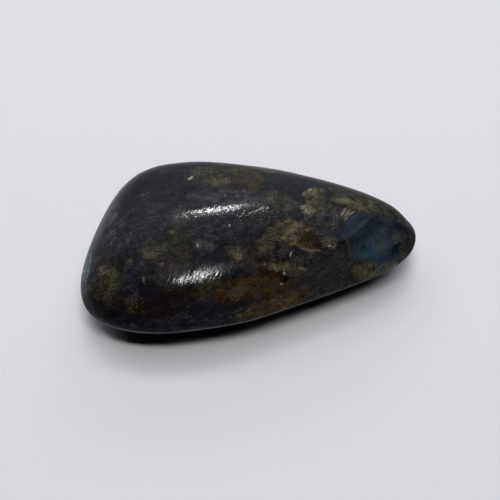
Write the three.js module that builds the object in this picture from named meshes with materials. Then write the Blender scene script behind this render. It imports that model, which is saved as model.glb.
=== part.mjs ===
// A labradorite pebble: one piece of stone, ground to a blunt wedge with a domed crown and belly and polished.
// Millimetres, +Z up. +X runs from the blunt end to the tip, +Y to the back of the stone.
// The origin is on the resting face, under the middle of the stone's box.
import * as THREE from "three";
import { mergeVertices } from "three/addons/utils/BufferGeometryUtils.js";

// Driving dimensions
const CROWN_HEIGHT = 12.0; // from the girdle, the widest outline, up to the summit
const BELLY_DEPTH = 8.7; // from the girdle down to the lowest point of the uncut belly
const RESTING_CUT = 1.5; // how much of the belly is ground away to make the resting face
const CROWN_FLATNESS = 3.5; // 2 is an even dome, more is flatter in the middle and steeper at the girdle
const BELLY_FLATNESS = 2.2;
const GIRDLE_ROUNDING = 1.07; // 1 leaves a sharp edge at the girdle, and 2 rounds it as an ellipse does
const TIP_DROOP = 0.5; // how far the girdle is lower at the tip than at the summit

// The girdle seen from above, anticlockwise from the tip. A smooth closed curve passes through these points.
const GIRDLE = [
  [30.5, 3.1], // tip
  [29.4, 7.6],
  [14.8, 14.3], // back side
  [2.2, 17.0],
  [-12.1, 17.8], // back corner
  [-22.6, 14.3],
  [-27.7, 3.4], // blunt end
  [-29.4, -8.4],
  [-28.0, -15.0], // front corner
  [-19.4, -19.5],
  [-2.0, -17.6], // front side
  [8.1, -13.6],
  [20.5, -7.7],
  [27.0, -3.9],
  [29.2, -1.3],
];
const SUMMIT = new THREE.Vector2(-9.0, 2.0); // the highest point, seen from above

// The front of the crown is ground nearly flat. The face looks out at its bearing, in degrees anticlockwise from
// +X, and its slope is 0 where it is level and 90 where it is upright. Its cut is taken off the point that stands
// out furthest, and its blend is how far from the plane the rounding into the rest of the stone begins.
const FRONT_FACE = { bearing: -79, slope: 27, cut: 1.1, blend: 2.1 };

const RESTING_BLEND = 0.75;

const SURFACE_DETAIL = 20; // subdivisions of the icosahedron that the surface is drawn on
const TIP_CROWDING = 0.35; // how strongly its points are drawn towards the tip, where the stone is longest
const GIRDLE_SAMPLES = 720; // places where the girdle's reach is worked out, between which it is interpolated

// Distance from the summit's axis to the girdle, for any bearing.
function girdleReachTable() {
  const points = GIRDLE.map(([x, y]) => new THREE.Vector3(x - SUMMIT.x, y - SUMMIT.y, 0));
  const curve = new THREE.CatmullRomCurve3(points, true, "centripetal");
  return curve
    .getPoints(GIRDLE_SAMPLES)
    .map((p) => ({ bearing: Math.atan2(p.y, p.x), reach: Math.hypot(p.x, p.y) }))
    .sort((a, b) => a.bearing - b.bearing);
}

const girdleTable = girdleReachTable();

function girdleReach(bearing) {
  const after = girdleTable.findIndex((entry) => entry.bearing >= bearing);
  const high = girdleTable[Math.max(after, 0)];
  const low = girdleTable.at(after - 1);
  const turn = 2 * Math.PI;
  const span = (high.bearing - low.bearing + turn) % turn;
  const part = span > 0 ? ((bearing - low.bearing + turn) % turn) / span : 0;
  return THREE.MathUtils.lerp(low.reach, high.reach, part);
}

// The point of the uncut stone in a direction of the unit sphere. Its share is how far out it is from the summit's
// axis, from 0 there to 1 at the girdle.
function stonePoint(direction) {
  const share = Math.min(Math.hypot(direction.x, direction.y), 1);
  const bearing = Math.atan2(direction.y, direction.x);
  const isCrown = direction.z > 0;
  const flatness = isCrown ? CROWN_FLATNESS : BELLY_FLATNESS;
  const rise = isCrown ? CROWN_HEIGHT : -BELLY_DEPTH;
  const radius = girdleReach(bearing) * share;
  const x = SUMMIT.x + radius * Math.cos(bearing);
  const y = SUMMIT.y + radius * Math.sin(bearing);
  const droop = (TIP_DROOP * Math.max(x - SUMMIT.x, 0)) / (GIRDLE[0][0] - SUMMIT.x);
  return new THREE.Vector3(x, y, rise * (1 - share ** flatness) ** (1 / GIRDLE_ROUNDING) - droop);
}

// Zero below -blend, the number itself above blend, and a smooth bend between them.
function smoothPositive(number, blend) {
  const bend = Math.max(blend - Math.abs(number), 0);
  return Math.max(number, 0) + (bend * bend) / (4 * blend);
}

// Grinds a face: what stands past the plane is moved back onto it.
function grind(points, normal, cut, blend) {
  const furthest = Math.max(...points.map((p) => p.dot(normal)));
  const level = furthest - cut;
  for (const p of points) p.addScaledVector(normal, -smoothPositive(p.dot(normal) - level, blend));
}

function faceNormal(face) {
  const bearing = THREE.MathUtils.degToRad(face.bearing);
  const slope = THREE.MathUtils.degToRad(face.slope);
  return new THREE.Vector3(
    Math.cos(bearing) * Math.sin(slope),
    Math.sin(bearing) * Math.sin(slope),
    Math.cos(slope),
  );
}

function pebbleGeometry() {
  const sphere = new THREE.IcosahedronGeometry(1, SURFACE_DETAIL);
  sphere.deleteAttribute("normal");
  sphere.deleteAttribute("uv");
  const geometry = mergeVertices(sphere);
  const position = geometry.getAttribute("position");
  const points = [];
  for (let i = 0; i < position.count; i++) {
    const direction = new THREE.Vector3().fromBufferAttribute(position, i);
    direction.x += TIP_CROWDING;
    points.push(stonePoint(direction.normalize()));
  }
  grind(points, faceNormal(FRONT_FACE), FRONT_FACE.cut, FRONT_FACE.blend);
  grind(points, new THREE.Vector3(0, 0, -1), RESTING_CUT, RESTING_BLEND);
  points.forEach((p, i) => position.setXYZ(i, p.x, p.y, p.z));
  geometry.computeBoundingBox();
  const { min, max } = geometry.boundingBox;
  geometry.translate(-(min.x + max.x) / 2, -(min.y + max.y) / 2, -min.z);
  geometry.computeVertexNormals();
  return geometry;
}

const stone = new THREE.MeshStandardMaterial({ color: 0x2b2c30, roughness: 0.22, metalness: 0 });

const pebble = new THREE.Mesh(pebbleGeometry(), stone);
pebble.name = "pebble";

const part = new THREE.Group();
part.add(pebble);

export default part;
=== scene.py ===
"""A labradorite pebble on a pale floor in soft studio light.

Metres and +Z up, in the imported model's frame. Places on the stone are given as pixels of the
500 x 500 picture and found by casting a ray from the camera through them onto the stone.
"""
import math
from collections import namedtuple

import bpy
import numpy as np
from mathutils import Matrix, Quaternion, Vector, noise
from mathutils.bvhtree import BVHTree
from mathutils.geometry import convex_hull_2d


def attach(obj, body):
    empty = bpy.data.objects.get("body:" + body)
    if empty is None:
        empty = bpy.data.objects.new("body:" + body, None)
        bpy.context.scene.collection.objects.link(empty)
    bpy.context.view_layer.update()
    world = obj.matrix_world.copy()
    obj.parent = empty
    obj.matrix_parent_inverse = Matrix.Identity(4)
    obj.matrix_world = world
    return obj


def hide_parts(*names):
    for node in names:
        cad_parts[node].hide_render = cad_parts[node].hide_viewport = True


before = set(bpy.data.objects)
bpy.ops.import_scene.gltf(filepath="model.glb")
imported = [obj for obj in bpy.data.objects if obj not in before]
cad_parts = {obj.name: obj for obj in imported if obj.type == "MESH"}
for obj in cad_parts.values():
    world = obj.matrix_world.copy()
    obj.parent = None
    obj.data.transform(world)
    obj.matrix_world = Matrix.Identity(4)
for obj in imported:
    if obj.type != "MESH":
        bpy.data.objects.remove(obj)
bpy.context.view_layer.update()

MM = 0.001

# Camera
PICTURE = 500  # pixels along each side
ELEVATION = math.radians(48)
DISTANCE = 260 * MM
VIEW_WIDTH = 89.6 * MM  # what the picture's width covers at the target
TARGET = Vector((0, 0, 9 * MM))
TARGET_PIXEL = (250.9, 244.6)  # where the target shows in the picture
SENSOR = 36.0  # width in millimetres

VIEW_RIGHT = Vector((1, 0, 0))
VIEW_UP = Vector((0, math.sin(ELEVATION), math.cos(ELEVATION)))
VIEW_BACK = Vector((0, -math.cos(ELEVATION), math.sin(ELEVATION)))
EYE = TARGET + DISTANCE * VIEW_BACK

# Colours of the stone, linear
BLACK = (0.0022, 0.0022, 0.0024)
SLATE_DARK = (0.0075, 0.0078, 0.0105)
SLATE = (0.0190, 0.0196, 0.0252)
SLATE_BLUE = (0.0092, 0.0106, 0.0162)
ASH = (0.0375, 0.0390, 0.0410)
# Painted reflection on the left rim
RIM_REFLECTION = (0.0750, 0.0750, 0.0870)
# Painted glow round the upper highlight
HIGHLIGHT_GLOW = (0.0480, 0.0480, 0.0540)
VIOLET = (0.0152, 0.0142, 0.0180)
VIOLET_DARK = (0.0038, 0.0033, 0.0048)
VIOLET_BROWN = (0.0180, 0.0155, 0.0155)
GREY_BROWN = (0.0250, 0.0245, 0.0240)
OLIVE_DARK = (0.0220, 0.0205, 0.0145)
OLIVE_GREY = (0.0400, 0.0400, 0.0300)
OLIVE = (0.0380, 0.0355, 0.0225)
OLIVE_LIGHT = (0.0800, 0.0720, 0.0420)
MOSS = (0.0260, 0.0260, 0.0200)
BROWN = (0.0300, 0.0160, 0.0052)
BROWN_OLIVE = (0.0480, 0.0360, 0.0210)
RED_BROWN = (0.0080, 0.0045, 0.0032)
DARK_RED = (0.0150, 0.0075, 0.0045)
RUST = (0.0260, 0.0185, 0.0125)
ORANGE = (0.0500, 0.0330, 0.0170)
TAN = (0.1150, 0.0880, 0.0500)
YELLOW = (0.1150, 0.1020, 0.0560)
CREAM = (0.1700, 0.1600, 0.1150)
CHALK = (0.4200, 0.4100, 0.3700)
NAVY = (0.0285, 0.0400, 0.0580)
DEEP_BLUE = (0.0105, 0.0155, 0.0280)
BLUE = (0.0110, 0.0230, 0.0370)
BLUE_BRIGHT = (0.0200, 0.0400, 0.0580)
BLUE_GREY = (0.0480, 0.0600, 0.0680)
GREEN_GREY = (0.0500, 0.0580, 0.0490)
# Painted reflection: the flash of layers inside the stone, drawn as fixed colour
FLASH = (0.1300, 0.1800, 0.1900)

# A mark is a blot on the stone: its middle and its half lengths in pixels, its turn in degrees
# anticlockwise, its colour, how strongly it covers what lies under it, how ragged its edge is, and how soft.
Mark = namedtuple("Mark", "pixel half turn colour cover ragged soft", defaults=(1.0, 0.5))

# An area is a mark without a colour.
Area = namedtuple("Area", "pixel half turn cover ragged soft", defaults=(1.0, 0.5))

# Large soft clouds
CLOUDS = [
    Mark((168, 190), (54, 30), 25, SLATE_BLUE, 0.9),  # upper left
    Mark((128, 226), (38, 32), 50, SLATE, 0.8),  # left shoulder
    # painted reflection on the left rim
    Mark((106, 238), (12, 28), -28, ASH, 0.35),
    Mark((224, 199), (30, 10), 0, HIGHLIGHT_GLOW, 0.8),  # painted glow round the upper highlight
    # painted glow at the upper highlight's right end
    Mark((262, 205), (20, 11), -10, HIGHLIGHT_GLOW, 0.5),
    Mark((262, 219), (28, 16), 15, VIOLET, 0.9),  # lens in the middle
    Mark((224, 234), (28, 14), 5, VIOLET, 0.8),
    Mark((212, 254), (32, 14), 0, SLATE_DARK, 0.6),  # below the middle
    Mark((260, 255), (28, 16), 10, VIOLET_BROWN, 0.9),
    Mark((322, 272), (46, 27), 20, GREY_BROWN, 0.9),  # right of the middle
    Mark((332, 226), (20, 14), 0, ASH, 0.9),
    Mark((112, 308), (36, 16), -5, VIOLET_DARK, 0.9),  # low on the left: partly the stone's colour, partly painted shade where the side turns down
    Mark((205, 316), (52, 12), 6, VIOLET, 0.3),  # low in the middle
    # darker low along the front: partly painted shade
    Mark((195, 309), (66, 16), 5, VIOLET_DARK, 0.35),
    Mark((298, 186), (36, 12), -14, SLATE_BLUE, 0.8),  # upper right edge
    Mark((374, 207), (44, 14), -27, OLIVE_GREY, 0.9),  # top of the tip
    Mark((275, 305), (35, 10), 15, BROWN_OLIVE, 0.95),  # low, right of the middle
    Mark((107, 281), (16, 24), 0, OLIVE_DARK, 0.85),  # left end
    Mark((160, 257), (26, 18), 0, OLIVE_DARK, 0.6),  # middle left
    Mark((136, 262), (13, 20), 0, SLATE, 0.8),
]

# Patches with clearer edges
PATCHES = [
    # Olive top
    Mark((230, 177), (44, 12), 4, OLIVE, 0.35),
    Mark((206, 170), (20, 5), 28, OLIVE_LIGHT, 0.3),
    Mark((222, 181), (14, 4), 8, YELLOW, 0.25),
    Mark((248, 176), (16, 10), -60, BROWN_OLIVE, 0.7),
    Mark((264, 169), (24, 3), -10, OLIVE_LIGHT, 0.6),
    Mark((283, 201), (16, 7), -25, OLIVE_GREY, 0.8),
    # Streak down the left of the middle
    Mark((179, 218), (8, 12), -5, OLIVE_GREY, 0.45),
    Mark((174, 234), (6, 9), -20, MOSS, 0.9),
    Mark((183, 247), (9, 18), -5, OLIVE_DARK, 0.9),
    Mark((152, 250), (8, 6), 20, OLIVE_LIGHT, 0.65),
    Mark((163, 250), (6, 4), 0, OLIVE_GREY, 0.7),
    Mark((166, 265), (16, 8), 10, VIOLET_BROWN, 0.7),
    # Left end; the lilac and ash marks on the rim are painted reflection
    Mark((103, 271), (4, 5), 0, CREAM, 0.30, 1.0, 0.7),
    Mark((112, 273), (5, 9), -10, OLIVE_LIGHT, 0.5, 1.0, 0.7),
    Mark((109, 286), (9, 12), -20, OLIVE, 0.7, 1.0, 0.7),
    Mark((128, 263), (3, 7), -15, OLIVE, 0.7),
    # painted flash at the left edge
    Mark((87, 268), (6, 20), -8, FLASH, 0.7),
    Mark((85, 288), (5, 9), -5, RIM_REFLECTION, 0.6),
    Mark((101, 229), (7, 16), -25, RIM_REFLECTION, 0.7),
    Mark((113, 218), (5, 7), -10, RIM_REFLECTION, 0.5),
    Mark((123, 223), (6, 7), 0, ASH, 0.6),
    # Low on the left
    Mark((136, 305), (9, 8), 30, BROWN_OLIVE, 0.9),
    Mark((152, 307), (24, 10), -5, RED_BROWN, 0.9),
    Mark((178, 294), (24, 8), 5, RED_BROWN, 0.9),
    Mark((150, 287), (12, 8), 0, VIOLET_DARK, 0.8),
    # Brown band under the middle
    Mark((246, 288), (46, 11), 5, BROWN, 1.0),
    Mark((237, 293), (8, 6), 30, OLIVE_LIGHT, 0.5),
    Mark((262, 286), (22, 7), 2, ORANGE, 0.5),
    Mark((210, 289), (16, 8), 15, OLIVE_DARK, 0.8),
    Mark((228, 276), (14, 3), 10, BLACK, 0.7),
    Mark((271, 273), (14, 4), -8, DARK_RED, 1.0),
    Mark((279, 266), (19, 4), -3, OLIVE_LIGHT, 0.9, 1.0, 0.6),
    Mark((235, 256), (10, 8), 10, OLIVE, 0.6, 1.0, 0.7),
    Mark((238, 256), (5, 3), 10, OLIVE_LIGHT, 0.6, 1.0, 0.7),
    Mark((220, 246), (9, 7), 0, BLACK, 0.5, 1.0, 0.6),
    Mark((205, 245.5), (10, 6), 0, ASH, 0.8, 1.0, 0.6),
    Mark((266, 231), (17, 7), 15, VIOLET_DARK, 0.6),
    # Orange middle
    Mark((295, 234), (18, 11), -12, TAN, 0.9),
    Mark((309, 241), (12, 8), -25, RUST, 0.9),
    Mark((277, 231), (12, 6), 20, OLIVE, 0.9),
    Mark((268, 244), (14, 8), 20, OLIVE, 0.8),
    Mark((283.5, 250), (9, 11), -15, BLACK, 0.75, 1.0, 0.5),
    Mark((283.5, 250), (5, 7), -15, ASH, 0.75, 1.0, 0.6),
    Mark((328, 242), (7, 6), -30, OLIVE_LIGHT, 0.6),
    # Yellow patch
    Mark((317, 199), (10, 11), 20, OLIVE_LIGHT, 1.0),
    Mark((309, 209), (6, 6), 20, CREAM, 0.7),
    Mark((309, 222), (8, 6), 0, MOSS, 0.8),
    Mark((311, 198), (3, 2), 30, SLATE_DARK, 0.8),
    Mark((329, 206), (14, 7), -10, MOSS, 0.9),
    Mark((326, 197), (7, 4), -20, SLATE, 0.8),
    Mark((347, 202), (14, 4), -12, OLIVE_LIGHT, 0.7),
    Mark((364, 207), (13, 6), -25, OLIVE_LIGHT, 0.5),
    # Low on the right
    Mark((390, 263), (18, 7), 25, GREEN_GREY, 0.9),
    Mark((366, 270), (13, 8), 25, OLIVE_LIGHT, 0.75),
]

# The blue flash near the tip: painted reflection, the sheen of layers inside the stone drawn as fixed
# colour, with dark cracks, olive and green-grey at the tip's end
BLUE_FLASH_MARKS = [
    Mark((376, 239), (29, 20), -10, BLUE, 1.0, 0.7),
    Mark((353, 226), (17, 10), 40, NAVY, 1.0, 0.5, 0.5),
    Mark((377, 226), (19, 11), -15, DEEP_BLUE, 0.95, 0.7, 0.6),
    Mark((371, 251), (20, 9), 0, BLUE_BRIGHT, 1.0, 0.7, 0.6),
    Mark((379, 240), (8, 14), -30, BLUE_GREY, 0.6, 1.0, 0.9),
    Mark((385, 247), (10, 6), 20, BLUE_GREY, 0.5, 1.0, 0.9),
    Mark((397, 240), (8, 5), 25, BLUE_GREY, 0.7, 1.0, 0.9),
    Mark((400, 229), (15, 6), -22, DEEP_BLUE, 0.9, 1.0, 0.6),
    Mark((404, 230), (13, 4), -18, BLACK, 0.6, 1.0, 0.8),
    Mark((407, 244), (8, 11), -20, OLIVE_DARK, 0.85, 1.0, 0.6),
    Mark((397, 238), (6, 4), 25, GREEN_GREY, 0.5, 1.0, 0.8),
    Mark((394, 249), (6, 3), 35, BLACK, 0.6, 1.0, 0.6),
]

# Thin streaks and cracks, drawn over the grain
STREAKS = [
    Mark((360, 226), (15, 2.4), 40, BLUE_GREY, 0.7, 1.0, 0.9),  # painted bright edge inside the blue flash
    Mark((311, 250), (10, 1.2), -6, CREAM, 0.5, 1.0),  # under the orange
    Mark((302, 268.5), (4, 1.3), -15, CREAM, 0.5, 1.0),
    Mark((349, 247), (1.3, 11), 15, OLIVE_GREY, 0.8, 1.0),  # cracks left of the blue
    Mark((359, 256), (1.2, 6), 40, OLIVE_GREY, 0.8, 1.0),
    Mark((343, 255), (2.2, 2.2), 0, OLIVE_GREY, 0.7, 1.0),
    Mark((350, 263), (2.5, 2.0), 0, OLIVE_GREY, 0.6, 1.0),
    Mark((346, 213), (7, 5), 40, OLIVE_LIGHT, 0.7, 1.0),  # slashes by the blue
    Mark((343, 212), (0.9, 4), -40, CHALK, 0.45, 1.0),
    Mark((347, 213), (0.8, 5), -42, CHALK, 0.40, 1.0),
    Mark((351, 213), (0.9, 4), -50, CHALK, 0.45, 1.0),
    Mark((346, 219), (0.8, 3), -35, CHALK, 0.35, 1.0),
    Mark((344, 200.5), (8, 1.3), -8, CREAM, 0.6, 1.0),
    Mark((373.5, 268), (0.9, 4), 0, BLACK, 1.0, 0.4),  # short upright crack
    Mark((284, 259), (10, 2), 30, BLACK, 0.5, 1.0),  # lower rim of the ring
    Mark((276, 247), (1.5, 6), 0, BLACK, 0.6, 1.0),
    Mark((396.5, 246), (6, 1.3), 35, BLACK, 0.95, 0.8),  # crack in the tip
]

# Small pale and dark spots, drawn last; a few pale ones are painted glints
FLECKS = [
    Mark((190.5, 178), (2.8, 1.0), 35, CHALK, 0.9, 0.9),
    Mark((229.5, 225), (0.9, 0.9), 0, CHALK, 0.9, 0.6),
    # painted glints on the rim of the pit
    Mark((284.5, 273.5), (1.0, 1.7), 20, CHALK, 0.7, 1.0),
    Mark((281.5, 284), (0.9, 0.8), 0, CHALK, 0.6, 1.0),
    Mark((286, 279), (3.2, 2.6), 40, BLACK, 1.0, 1.0),
    # painted glint beside the ring
    Mark((290.5, 254), (0.8, 2.6), -15, CHALK, 0.6, 1.0),
    Mark((329.5, 246), (1.3, 0.9), 30, CHALK, 0.6, 1.0),
    Mark((103, 271), (1.6, 1.8), 0, CREAM, 0.5, 1.0, 0.6),
    Mark((143.5, 279), (0.8, 2.4), 0, CREAM, 0.6, 1.0),
    Mark((310, 189.5), (2.0, 1.0), 20, CHALK, 0.6, 1.0),
    Mark((304, 194), (1.2, 2.6), -30, CREAM, 0.7, 1.0),
    Mark((143, 195), (2.4, 0.8), -5, CREAM, 0.35, 1.0),
    Mark((214, 190), (3.5, 2.5), 10, BLACK, 0.7, 1.0),
    Mark((117, 206), (2.0, 3.0), 0, ASH, 0.7, 0.8),
    Mark((128, 241), (1.2, 2.5), 0, CREAM, 0.3, 0.8),
    Mark((162, 264), (1.8, 1.4), 0, CREAM, 0.4, 0.8),
    Mark((172, 232), (2.0, 1.6), 0, CREAM, 0.35, 0.8),
    Mark((197.5, 245.5), (0.9, 1.8), 0, CHALK, 0.5, 0.8),
]

# Where the polish is poor
ROUGH_PARTS = [
    Area((214, 213), (38, 8), 6, 0.3),
    Area((262, 222), (26, 12), 10, 0.9),
    Area((224, 236), (28, 12), 5, 0.7),
    Area((284, 262), (16, 24), 0, 0.7),
    Area((136, 303), (16, 12), 0, 0.6),
    Area((180, 312), (40, 10), 0, 0.6),
]

# Where pale specks lie: most are specks in the stone, some are painted glints
SPECK_AND_GLINT_PARTS = [
    Area((109, 291), (6, 6), 0, 0.9, 0.5, 0.6),
    Area((134, 302), (8, 6), 40, 0.8, 0.5, 0.6),
    Area((143.5, 278), (3, 5), 0, 0.7, 0.5, 0.6),
    Area((241, 292), (8, 5), 30, 0.7, 0.5, 0.6),
    Area((188, 319), (26, 4), 2, 0.5, 0.5, 0.6),
    # painted glints right of the upper highlight
    Area((262, 217), (22, 8), 0, 0.8, 0.5, 0.6),
    Area((286, 268), (14, 14), 0, 0.6, 0.5, 0.6),
    Area((156, 252), (12, 8), 20, 0.6, 0.5, 0.6),
    Area((311, 196), (8, 8), 0, 0.6, 0.5, 0.6),
]

# Where the grain is drawn out along the lower edge
STREAKED_PARTS = [
    Area((232, 301), (120, 28), 9, 0.6, 0.5, 0.8),
    Area((345, 272), (46, 16), 25, 0.4, 0.5, 0.8),
]

# Where the grain shows less
EVEN_PARTS = [
    Area((160, 192), (50, 30), 30, 0.2),
    Area((330, 275), (44, 22), 22, 0.5),
    Area((262, 287), (26, 9), 3, 0.6),
    Area((376, 238), (36, 26), 0, 1.0),
]

# Pits and chips in the surface: the middle and the radius in pixels, and the depth in millimetres
PITS = [
    ((190.5, 178), 4, 0.12),
    ((143, 195), 3, 0.12),
    ((214, 191), 4, 0.08),
    ((285, 280), 5, 0.09),
    ((285, 249), 7, 0.07),
    ((329, 245), 5, 0.12),
    ((373.5, 268), 3, 0.07),
    ((109.5, 291), 4, 0.06),
    ((136, 305), 6, 0.05),
    ((229.5, 225), 2.5, 0.10),
    ((397, 248), 5, 0.06),
]

WAVES = [(6.0, 0.035), (2.2, 0.010)]  # wavelength and height of the hand-ground surface, millimetres

# Surface
MERGE_DISTANCE = 0.001 * MM  # points of the CAD mesh that are closer than this become one
SUBDIVISIONS = 2
GIRDLE_HEIGHT = 7.0 * MM  # the girdle is the stone's widest outline, where the crown meets the belly
GIRDLE_BAND = 3.0 * MM  # how far above and below the girdle its rounding reaches
ROUNDING_STEPS = 9
ROUNDING_SHARE = 0.5  # how far each step moves a point at the girdle to the middle of its neighbours
BEARINGS = 120  # bearings at which the outline is measured
AVERAGED_BEARINGS = 4  # bearings on either side over which the widening of the outline is averaged
FLAT_RISE = 1.0 * MM  # waves and pits come in over this height, so the resting face stays flat

# How marks are drawn
MARK_REACH = 1.5  # how far a mark's edge fades out, as a share of its half lengths
MARK_DEPTH = 2.5  # how deep a mark goes into the stone, as a share of its larger half length
DEEPEST_MARK = 9.0  # millimetres
RAGGED_STRENGTH = 3.0  # how strongly noise moves the edge of a ragged mark
EDGE_LEVEL = 0.25  # where a hard edge lies, from 0 at the end of a mark's reach to 1 in its middle
OUTER_SHARE = 0.45  # how much of a soft edge lies outside that level
EDGE_LIMIT = 0.02  # no edge begins further out than this level

# Grain: how strongly each layer varies the tone, and how much of the whole shows
CLOUD_WEIGHT = 2.2
BLOTCH_WEIGHT = 1.6
STRAND_WEIGHT = 1.5
SPECK_WEIGHT = 5.0
FACET_WEIGHT = 0.6
GRAIN_CONTRAST = 0.95
EVEN_CONTRAST = 0.30  # in the even parts
COOL_TINT = (0.96, 0.99, 1.05)
WARM_TINT = (1.06, 1.00, 0.92)

# Polish
STROKE_HEIGHT = 0.024  # of the polishing strokes, millimetres
POLISHED_GRAIN = 0.006  # height of the grain where the polish is good, millimetres
ROUGH_GRAIN = 0.070  # and where it is poor
GLOSSIEST = 0.11  # the shader's roughness, which varies over the stone between these two
DULLEST = 0.20

# Noise
NOISE_MIDDLE = 0.5  # the value that noise varies about
TINT_SHIFT = (31.0, 7.0, 3.0)  # shifts to other parts of the noise, in millimetres
WARMTH_SHIFT = (13.0, 5.0, 41.0)

# Clouds on the back and the belly: a shift to another part of the noise, its scale, and the colour
BACK_CLOUDS = [
    ((5, 2, 9), 0.09, OLIVE),
    ((17, 4, 1), 0.12, BROWN),
    ((9, 33, 6), 0.08, BLUE),
]

# Stage
FLOOR_HALF = 4.0  # half the floor's side
SHADE_DEPTH = 0.1 * MM  # how far under the floor the black sheet of painted shadow lies
FLOOR = (0.83, 0.84, 0.88)
WHITE = (1.0, 1.0, 1.0)
NEARLY_WHITE = (1.0, 0.985, 0.98)
PALE_BLUE = (0.88, 1.0, 1.08)
ROOM_TINT = (0.94, 0.97, 1.0)
NO_LIGHT = (0.0, 0.0, 0.0)

# A lamp is a rectangular light that faces the stone: its middle and its size in metres, its turn about
# the line to the stone in degrees, its power in watts, and its colour.
Lamp = namedtuple("Lamp", "name spot size turn power colour")

# These light the floor and the stone, and the polish doesn't mirror them.
STUDIO_LAMPS = [
    Lamp("front strip", (0.27, -2.34, 6.0), (3.36, 0.78), -15, 152, NEARLY_WHITE),
    Lamp("overhead box", (0.0, 0.36, 6.0), (2.0, 5.6), 0, 106, NEARLY_WHITE),
    Lamp("back strip", (-0.96, 3.24, 6.0), (11.6, 1.4), -16, 130, NEARLY_WHITE),
    Lamp("back panel", (0.0, 0.30, 0.20), (0.40, 0.10), 0, 0.28, PALE_BLUE),
]

# Only the polish mirrors these.
HIGHLIGHT_LAMPS = [
    Lamp("back highlight", (0.0056, 0.1043, 0.23), (0.014, 0.009), 0, 0.034, WHITE),
    Lamp("front highlight", (0.028, -0.1107, 0.23), (0.038, 0.0035), 50, 0.027, WHITE),
]


# Places on the stone


def surface_tree(mesh):
    """A mesh's surface, for casting rays onto it."""
    return BVHTree.FromPolygons([v.co for v in mesh.vertices], [p.vertices for p in mesh.polygons])


def pixel_ray(pixel):
    """The direction from the eye through a pixel."""
    per_pixel = VIEW_WIDTH / PICTURE
    right = (pixel[0] - TARGET_PIXEL[0]) * per_pixel
    up = (TARGET_PIXEL[1] - pixel[1]) * per_pixel
    return (right * VIEW_RIGHT + up * VIEW_UP - DISTANCE * VIEW_BACK).normalized()


def place_on_stone(surface, pixel):
    """The point of the stone under a pixel, and the size of a pixel there."""
    point, _, _, _ = surface.ray_cast(EYE, pixel_ray(pixel))
    depth = (EYE - point).dot(VIEW_BACK)
    return point, depth / DISTANCE * VIEW_WIDTH / PICTURE


# Shape


def solid_mesh(source):
    """Points and triangles of a CAD mesh, with doubled points merged."""
    points = np.array([v.co for v in source.vertices])
    source.calc_loop_triangles()
    faces = np.array([t.vertices for t in source.loop_triangles])
    cells = np.round(points / MERGE_DISTANCE)
    _, first, merged = np.unique(cells, axis=0, return_index=True, return_inverse=True)
    return points[first], merged.reshape(-1)[faces]


def edge_pairs(faces):
    """The pairs of points that edges join, and the edge of each side of each triangle."""
    edges = np.sort(faces[:, [[0, 1], [1, 2], [2, 0]]].reshape(-1, 2), axis=1)
    pairs, edge_of = np.unique(edges, axis=0, return_inverse=True)
    return pairs, edge_of.reshape(-1)


def neighbour_sums(points, pairs):
    """The sum of each point's neighbours, and their number."""
    sums = np.zeros_like(points)
    np.add.at(sums, pairs[:, 0], points[pairs[:, 1]])
    np.add.at(sums, pairs[:, 1], points[pairs[:, 0]])
    return sums, np.bincount(pairs.reshape(-1), minlength=len(points))[:, None]


def subdivide(points, faces):
    """Splits each triangle of a closed mesh into four and smooths it, with the usual weights."""
    pairs, edge_of = edge_pairs(faces)
    across = np.zeros((len(pairs), 3))
    np.add.at(across, edge_of, points[faces[:, [2, 0, 1]].reshape(-1)])
    middles = 0.375 * points[pairs].sum(axis=1) + 0.125 * across
    ring, valence = neighbour_sums(points, pairs)
    share = (0.625 - (0.375 + 0.25 * np.cos(2 * np.pi / valence)) ** 2) / valence
    corners = (1 - valence * share) * points + share * ring
    a, b, c = faces.T
    ab, bc, ca = (edge_of.reshape(-1, 3) + len(points)).T
    finer = np.stack([a, ab, ca, ab, b, bc, ca, bc, c, ab, bc, ca], axis=1).reshape(-1, 3)
    return np.vstack([corners, middles]), finer


def round_girdle(points, faces):
    """Rounds the edge where the crown meets the belly."""
    pairs, _ = edge_pairs(faces)
    nearness = np.clip(1 - np.abs(points[:, 2] - GIRDLE_HEIGHT) / GIRDLE_BAND, 0, 1)[:, None]
    for _ in range(ROUNDING_STEPS):
        sums, number = neighbour_sums(points, pairs)
        points = points + ROUNDING_SHARE * nearness * (sums / number - points)
    return points


def bearings(points):
    """The bearing of each point from the middle, seen from above, counted from 0 to BEARINGS."""
    return np.arctan2(points[:, 1], points[:, 0]) / (2 * np.pi) % 1 * BEARINGS


def outline_reach(points):
    """How far the outline seen from above reaches from the middle at each bearing."""
    reach = np.zeros(BEARINGS)
    np.maximum.at(reach, bearings(points).astype(int), np.hypot(points[:, 0], points[:, 1]))
    return reach


def widening(solid, points):
    """The factor by which each point moves outward, so that the outline is as wide as the solid's."""
    ratio = outline_reach(solid) / outline_reach(points)
    turns = range(-AVERAGED_BEARINGS, AVERAGED_BEARINGS + 1)
    even = np.mean([np.roll(ratio, turn) for turn in turns], axis=0)
    return np.interp(bearings(points), np.arange(BEARINGS) + 0.5, even, period=BEARINGS)


def fine_mesh(source):
    """Points and triangles of the smooth stone: a rounded girdle, and as wide as the solid."""
    solid, faces = solid_mesh(source)
    points = round_girdle(solid, faces)
    for _ in range(SUBDIVISIONS):
        solid, _ = subdivide(solid, faces)
        points, faces = subdivide(points, faces)
    points[:, :2] *= widening(solid, points)[:, None]
    return points, faces


def point_normals(points, faces):
    a, b, c = (points[faces[:, k]] for k in range(3))
    face_normals = np.cross(b - a, c - a)
    normals = np.zeros_like(points)
    for k in range(3):
        np.add.at(normals, faces[:, k], face_normals)
    return normals / np.linalg.norm(normals, axis=1, keepdims=True)


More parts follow.
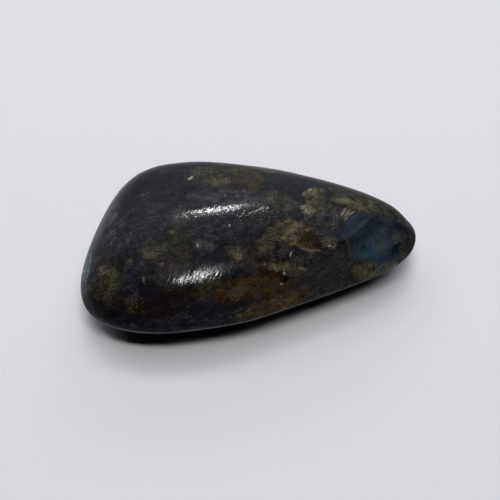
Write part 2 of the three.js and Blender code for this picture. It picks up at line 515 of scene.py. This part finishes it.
def wave_heights(points):
    """The slight unevenness that grinding by hand leaves."""
    heights = np.zeros(len(points))
    for wavelength, height in WAVES:
        places = points / (wavelength * MM)
        heights += height * MM * np.array([noise.noise(Vector(p)) for p in places])
    return heights


def pit_depths(points, surface):
    depths = np.zeros(len(points))
    for pixel, radius, depth in PITS:
        middle, pixel_size = place_on_stone(surface, pixel)
        away = np.linalg.norm(points - np.array(middle), axis=1) / (radius * pixel_size)
        depths += depth * MM * np.clip(1 - away**2, 0, 1)
    return depths


def make_stone(source, surface):
    points, faces = fine_mesh(source)
    rise = np.clip(points[:, 2] / FLAT_RISE, 0, 1)
    heights = (wave_heights(points) - pit_depths(points, surface)) * rise
    moved = points + point_normals(points, faces) * heights[:, None]
    mesh = bpy.data.meshes.new("stone")
    mesh.from_pydata(moved.tolist(), [], faces.tolist())
    mesh.polygons.foreach_set("use_smooth", [True] * len(mesh.polygons))
    mesh.update()
    stone = bpy.data.objects.new("stone", mesh)
    bpy.context.scene.collection.objects.link(stone)
    return stone


# Nodes


def add(tree, kind, inputs=None, **settings):
    """A new node. Its inputs, by name or number, are linked to sockets or set to values."""
    made = tree.nodes.new(kind)
    for name, value in settings.items():
        setattr(made, name, value)
    for key, value in (inputs or {}).items():
        if isinstance(value, bpy.types.NodeSocket):
            tree.links.new(value, made.inputs[key])
        else:
            made.inputs[key].default_value = value
    return made


def opaque(colour):
    return (*colour, 1.0)


def math_node(tree, operation, a, b):
    return add(tree, "ShaderNodeMath", {0: a, 1: b}, operation=operation).outputs[0]


def multiply_add(tree, a, b, c):
    return add(tree, "ShaderNodeMath", {0: a, 1: b, 2: c}, operation="MULTIPLY_ADD").outputs[0]


def vector_node(tree, operation, a, b):
    return add(tree, "ShaderNodeVectorMath", {0: a, 1: b}, operation=operation).outputs[0]


def scaled(tree, vector, factor):
    return add(tree, "ShaderNodeVectorMath", {0: vector, "Scale": factor}, operation="SCALE").outputs[0]


def smooth_step(tree, value, low, high, to_low=0.0, to_high=1.0):
    inputs = {"Value": value, "From Min": low, "From Max": high, "To Min": to_low, "To Max": to_high}
    return add(tree, "ShaderNodeMapRange", inputs, interpolation_type="SMOOTHSTEP").outputs[0]


def mix_colour(tree, share, under, over):
    under = opaque(under) if isinstance(under, tuple) else under
    over = opaque(over) if isinstance(over, tuple) else over
    return add(tree, "ShaderNodeMixRGB", {"Fac": share, "Color1": under, "Color2": over}).outputs[0]


def noise_node(tree, place, scale, detail, roughness=0.55):
    inputs = {"Vector": place, "Scale": scale, "Detail": detail, "Roughness": roughness}
    return add(tree, "ShaderNodeTexNoise", inputs)


def noise_value(tree, place, **settings):
    return noise_node(tree, place, **settings).outputs["Fac"]


def centred(tree, value, weight):
    """A noise from 0 to 1 made to vary by the weight about 0."""
    return multiply_add(tree, value, weight, -NOISE_MIDDLE * weight)


def warped(tree, place, scale, reach):
    """The place moved about by noise, so that what is drawn there gets an uneven outline."""
    noise_colour = noise_node(tree, place, scale, detail=2.0).outputs["Color"]
    direction = vector_node(tree, "SUBTRACT", noise_colour, [NOISE_MIDDLE] * 3)
    return vector_node(tree, "ADD", place, scaled(tree, direction, reach))


def picture_turn(turn):
    """Euler angles of axes that lie along and across a line in the picture, and towards the eye."""
    angle = math.radians(turn)
    along = math.cos(angle) * VIEW_RIGHT + math.sin(angle) * VIEW_UP
    across = math.cos(angle) * VIEW_UP - math.sin(angle) * VIEW_RIGHT
    return Matrix((along, across, VIEW_BACK)).transposed().to_euler("XYZ")


def turned(tree, place, turn, scale, middle=(0, 0, 0)):
    """The place counted from a middle along turned axes, in units of the scale along each of them."""
    inputs = {"Vector": place, "Location": middle, "Rotation": picture_turn(turn), "Scale": scale}
    return add(tree, "ShaderNodeMapping", inputs, vector_type="TEXTURE").outputs[0]


def fibres(tree, place, turn, along, across, detail):
    """Noise drawn out along a line of the picture: its period along and across the line, in millimetres."""
    return noise_value(tree, turned(tree, place, turn, (along, across, across)), scale=1.0, detail=detail)


# Marks


def mark_cover(tree, place, raggedness, surface, mark):
    """How much of a mark or an area lies at a place: its cover in its middle and 0 outside it."""
    middle, pixel_size = place_on_stone(surface, mark.pixel)
    half = [h * pixel_size / MM for h in mark.half]
    depth = min(MARK_DEPTH * max(half), DEEPEST_MARK)
    reach = (half[0] * MARK_REACH, half[1] * MARK_REACH, depth)
    local = turned(tree, place, mark.turn, reach, middle / MM)
    ball = add(tree, "ShaderNodeTexGradient", {"Vector": local}, gradient_type="SPHERICAL").outputs["Fac"]
    ragged = multiply_add(tree, raggedness, RAGGED_STRENGTH * mark.ragged, 1.0)
    level = math_node(tree, "MULTIPLY", ball, ragged)
    low = EDGE_LEVEL - OUTER_SHARE * mark.soft
    return smooth_step(tree, level, max(low, EDGE_LIMIT), low + mark.soft, to_high=mark.cover)


def draw_marks(tree, colour, place, raggedness, surface, marks):
    for mark in marks:
        cover = mark_cover(tree, place, raggedness, surface, mark)
        colour = mix_colour(tree, cover, colour, mark.colour)
    return colour


def area_mask(tree, place, raggedness, surface, areas):
    """The largest cover of some areas at a place."""
    mask = 0.0
    for area in areas:
        mask = math_node(tree, "MAXIMUM", mask, mark_cover(tree, place, raggedness, surface, area))
    return mask


# Material of the stone


def stone_place(tree):
    """Place on the stone in millimetres."""
    return scaled(tree, add(tree, "ShaderNodeTexCoord").outputs["Object"], 1 / MM)


def ground_colour(tree, place):
    """Slate grey with a violet cast, clouded."""
    clouds = noise_value(tree, place, scale=0.16, detail=5.0)
    tints = noise_value(tree, vector_node(tree, "ADD", place, TINT_SHIFT), scale=0.11, detail=3.0)
    grey = mix_colour(tree, smooth_step(tree, clouds, 0.35, 0.65), SLATE_DARK, SLATE)
    return mix_colour(tree, smooth_step(tree, tints, 0.48, 0.68), grey, VIOLET)


def hidden_side(tree):
    """1 on the faces that look away from the picture's side, 0 on those that face it."""
    normal = add(tree, "ShaderNodeNewGeometry").outputs["Normal"]
    facing = add(tree, "ShaderNodeVectorMath", {0: normal, 1: VIEW_BACK}, operation="DOT_PRODUCT")
    return smooth_step(tree, facing.outputs["Value"], 0.25, -0.1)


def back_clouds(tree, colour, place, raggedness):
    """Olive, brown and blue clouds of the same kind on the back and the belly."""
    away = hidden_side(tree)
    for shift, scale, tone in BACK_CLOUDS:
        clouds = noise_value(tree, vector_node(tree, "ADD", place, shift), scale=scale, detail=4.0)
        ragged = math_node(tree, "ADD", clouds, math_node(tree, "MULTIPLY", raggedness, 0.25))
        cover = smooth_step(tree, ragged, 0.56, 0.68, to_high=0.85)
        colour = mix_colour(tree, math_node(tree, "MULTIPLY", cover, away), colour, tone)
    return colour


def facets(tree, place):
    """A tone for each crystal of about a millimetre."""
    local = turned(tree, place, turn=30, scale=(1.5, 0.7, 0.7))
    cells = add(tree, "ShaderNodeTexVoronoi", {"Vector": local, "Scale": 1.0})
    return add(tree, "ShaderNodeSeparateXYZ", {0: cells.outputs["Color"]}).outputs[0]


def grain_tone(tree, place, crisp, even, streaked):
    """A factor that lightens and darkens, from clouds of some millimetres down to specks."""
    specks = noise_value(tree, crisp, scale=3.6, detail=2.0, roughness=0.7)
    streaks = fibres(tree, crisp, turn=9, along=2.4, across=0.32, detail=2.0)
    layers = [
        (noise_value(tree, crisp, scale=1.0, detail=2.0), BLOTCH_WEIGHT),
        (fibres(tree, crisp, turn=25, along=2.0, across=0.8, detail=2.0), STRAND_WEIGHT),
        (mix_colour(tree, streaked, specks, streaks), SPECK_WEIGHT),
        (facets(tree, crisp), FACET_WEIGHT),
    ]
    total = centred(tree, noise_value(tree, place, scale=0.40, detail=2.0), CLOUD_WEIGHT)
    for layer, weight in layers:
        total = math_node(tree, "ADD", total, centred(tree, layer, weight))
    contrast = smooth_step(tree, even, 0.0, 1.0, GRAIN_CONTRAST, EVEN_CONTRAST)
    return math_node(tree, "POWER", math.e, math_node(tree, "MULTIPLY", total, contrast))


def grain(tree, colour, place, crisp, even, streaked):
    """Mottling of the colour, with warm and cool tints."""
    tone = grain_tone(tree, place, crisp, even, streaked)
    grey = add(tree, "ShaderNodeCombineXYZ", {0: tone, 1: tone, 2: tone}).outputs[0]
    warmth = noise_value(tree, vector_node(tree, "ADD", crisp, WARMTH_SHIFT), scale=0.9, detail=3.0)
    tint = mix_colour(tree, smooth_step(tree, warmth, 0.35, 0.65), COOL_TINT, WARM_TINT)
    return vector_node(tree, "MULTIPLY", vector_node(tree, "MULTIPLY", colour, grey), tint)


def cracks(tree, colour, place, raggedness):
    """Fine dark lines that come and go."""
    inputs = {"Vector": place, "Scale": 0.33}
    distance = add(tree, "ShaderNodeTexVoronoi", inputs, feature="DISTANCE_TO_EDGE").outputs["Distance"]
    line = smooth_step(tree, distance, 0.05, 0.0)
    present = smooth_step(tree, raggedness, 0.0, 0.12, to_high=0.7)
    return mix_colour(tree, math_node(tree, "MULTIPLY", line, present), colour, BLACK)


def sparkle(tree, colour, place, specks_and_glints):
    """Pale specks in groups: specks in the stone, and painted glints."""
    specks = noise_value(tree, place, scale=3.4, detail=1.0)
    cover = math_node(tree, "MULTIPLY", smooth_step(tree, specks, 0.56, 0.70, to_high=0.6), specks_and_glints)
    return mix_colour(tree, cover, colour, CREAM)


def stone_colour(tree, surface, place, wide, crisp, raggedness):
    """The ground, the clouds and patches on it, the grain over them, and the small marks on top."""
    wavy = warped(tree, warped(tree, wide, scale=1.0, reach=1.1), scale=3.0, reach=0.35)
    curved = warped(tree, place, scale=0.7, reach=0.9)
    broken = centred(tree, noise_value(tree, place, scale=3.0, detail=2.0, roughness=0.6), 1.0)
    even = area_mask(tree, wide, raggedness, surface, EVEN_PARTS)
    specks_and_glints = area_mask(tree, wavy, raggedness, surface, SPECK_AND_GLINT_PARTS)
    streaked = area_mask(tree, wide, raggedness, surface, STREAKED_PARTS)
    colour = ground_colour(tree, wavy)
    colour = back_clouds(tree, colour, wavy, raggedness)
    colour = draw_marks(tree, colour, wavy, raggedness, surface, CLOUDS + PATCHES + BLUE_FLASH_MARKS)
    colour = grain(tree, colour, place, crisp, even, streaked)
    colour = cracks(tree, colour, wavy, raggedness)
    colour = sparkle(tree, colour, place, specks_and_glints)
    colour = draw_marks(tree, colour, curved, broken, surface, STREAKS)
    return draw_marks(tree, colour, crisp, broken, surface, FLECKS)


def stone_roughness(tree, place):
    polish = noise_value(tree, place, scale=0.7, detail=4.0)
    return smooth_step(tree, polish, 0.30, 0.75, GLOSSIEST, DULLEST)


def stone_relief(tree, place, rough):
    """Height of the polishing strokes and the grain, in millimetres."""
    strokes = fibres(tree, place, turn=62, along=3.0, across=0.50, detail=1.0)
    grains = noise_value(tree, place, scale=2.0, detail=2.0)
    grain_height = smooth_step(tree, rough, 0.0, 1.0, POLISHED_GRAIN, ROUGH_GRAIN)
    stroke_relief = math_node(tree, "MULTIPLY", strokes, STROKE_HEIGHT)
    grain_relief = math_node(tree, "MULTIPLY", grains, grain_height)
    return math_node(tree, "ADD", stroke_relief, grain_relief)


def stone_material(surface):
    material = bpy.data.materials.new("labradorite")
    material.use_nodes = True
    tree = material.node_tree
    shader = tree.nodes["Principled BSDF"]
    place = stone_place(tree)
    wide = warped(tree, place, scale=0.30, reach=2.2)
    crisp = warped(tree, place, scale=1.6, reach=0.35)
    raggedness = centred(tree, noise_value(tree, place, scale=0.7, detail=4.0, roughness=0.6), 1.0)
    rough = area_mask(tree, wide, raggedness, surface, ROUGH_PARTS)
    relief = stone_relief(tree, crisp, rough)
    bump = add(tree, "ShaderNodeBump", {"Height": relief, "Strength": 1.0, "Distance": MM}).outputs[0]
    colour = stone_colour(tree, surface, place, wide, crisp, raggedness)
    tree.links.new(colour, shader.inputs["Base Color"])
    tree.links.new(stone_roughness(tree, place), shader.inputs["Roughness"])
    tree.links.new(bump, shader.inputs["Normal"])
    tree.links.new(bump, shader.inputs["Coat Normal"])
    shader.inputs["IOR"].default_value = 1.42
    shader.inputs["Coat Weight"].default_value = 0.5
    shader.inputs["Coat Roughness"].default_value = 0.06
    return material


# Stage


def matt_material(name, colour):
    material = bpy.data.materials.new(name)
    material.use_nodes = True
    shader = material.node_tree.nodes["Principled BSDF"]
    shader.inputs["Base Color"].default_value = opaque(colour)
    shader.inputs["Roughness"].default_value = 0.9
    shader.inputs["Specular IOR Level"].default_value = 0.0
    return material


def flat_sheet(name, outline, height, colour):
    """A level sheet that belongs to the stage."""
    mesh = bpy.data.meshes.new(name)
    mesh.from_pydata([(x, y, height) for x, y in outline], [], [range(len(outline))])
    mesh.materials.append(matt_material(name, colour))
    sheet = bpy.data.objects.new(name, mesh)
    bpy.context.scene.collection.objects.link(sheet)
    return sheet


def make_floor(source):
    """The floor, which the polish doesn't mirror, and a painted shadow under the stone: a black sheet that
    only the polish mirrors.
    """
    far = FLOOR_HALF
    floor = flat_sheet("floor", [(-far, -far), (far, -far), (far, far), (-far, far)], 0.0, FLOOR)
    floor.visible_glossy = False
    plan = [v.co.xy for v in source.vertices]
    outline = [plan[i] for i in convex_hull_2d(plan)]
    # A black sheet in place of the floor's shadow under the stone, seen only in the polish: painted shadow
    dark = flat_sheet("shade_under_stone", outline, -SHADE_DEPTH, BLACK)
    dark.visible_camera = False
    dark.visible_diffuse = False
    dark.visible_shadow = False


def add_lamp(lamp):
    light = bpy.data.lights.new(lamp.name, "AREA")
    light.shape = "RECTANGLE"
    light.size, light.size_y = lamp.size
    light.energy = lamp.power
    light.color = lamp.colour
    made = bpy.data.objects.new(lamp.name, light)
    made.location = lamp.spot
    made.rotation_mode = "QUATERNION"
    facing = Vector(lamp.spot).to_track_quat("Z", "Y")
    made.rotation_quaternion = facing @ Quaternion((0, 0, 1), math.radians(lamp.turn))
    bpy.context.scene.collection.objects.link(made)
    return made


def make_lights():
    for lamp in STUDIO_LAMPS:
        add_lamp(lamp).visible_glossy = False
    for lamp in HIGHLIGHT_LAMPS:
        add_lamp(lamp).visible_diffuse = False


def room_light(tree):
    """How bright the room is in each direction: dim, brighter towards the back, and the floor below."""
    direction = add(tree, "ShaderNodeTexCoord").outputs["Generated"]
    x, y, z = add(tree, "ShaderNodeSeparateXYZ", {0: direction}).outputs
    towards_back = smooth_step(tree, y, -0.5, 0.45, 0.02, 0.24)
    upward = smooth_step(tree, z, -0.3, 0.6, to_low=0.5)
    leftward = smooth_step(tree, x, 0.75, 0.2, to_low=0.2)
    room = math_node(tree, "MULTIPLY", math_node(tree, "MULTIPLY", towards_back, upward), leftward)
    floor_light = smooth_step(tree, y, 0.3, -0.4, 0.12, 0.80)
    floor = math_node(tree, "MULTIPLY", smooth_step(tree, z, 0.0, -0.60), floor_light)
    rightward = smooth_step(tree, x, -0.7, -0.2, to_low=0.6)
    return math_node(tree, "MULTIPLY", math_node(tree, "ADD", room, floor), rightward)


def make_world():
    """The room, which only the polish mirrors: it gives no light to a matt surface or by way of one."""
    world = bpy.data.worlds.new("room")
    bpy.context.scene.world = world
    world.use_nodes = True
    world.cycles_visibility.diffuse = False
    tree = world.node_tree
    matt_bounces = add(tree, "ShaderNodeLightPath").outputs["Diffuse Depth"]
    unbounced = math_node(tree, "LESS_THAN", matt_bounces, 0.5)
    glow = math_node(tree, "MULTIPLY", room_light(tree), unbounced)
    colour = mix_colour(tree, glow, NO_LIGHT, ROOM_TINT)
    tree.links.new(colour, tree.nodes["Background"].inputs["Color"])


def make_camera():
    data = bpy.data.cameras.new("camera")
    data.sensor_width = SENSOR
    data.lens = SENSOR * DISTANCE / VIEW_WIDTH
    data.shift_x = -(TARGET_PIXEL[0] - PICTURE / 2) / PICTURE
    data.shift_y = (TARGET_PIXEL[1] - PICTURE / 2) / PICTURE
    camera = bpy.data.objects.new("camera", data)
    camera.location = EYE
    camera.rotation_euler = (math.pi / 2 - ELEVATION, 0, 0)
    bpy.context.scene.collection.objects.link(camera)
    bpy.context.scene.camera = camera


# The scene

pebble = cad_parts["pebble"]
pebble_surface = surface_tree(pebble.data)
stone = make_stone(pebble.data, pebble_surface)
stone.data.materials.append(stone_material(pebble_surface))
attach(stone, "root")
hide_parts("pebble")
make_floor(pebble.data)
make_lights()
make_world()
make_camera()
bpy.context.scene.view_settings.view_transform = "Standard"
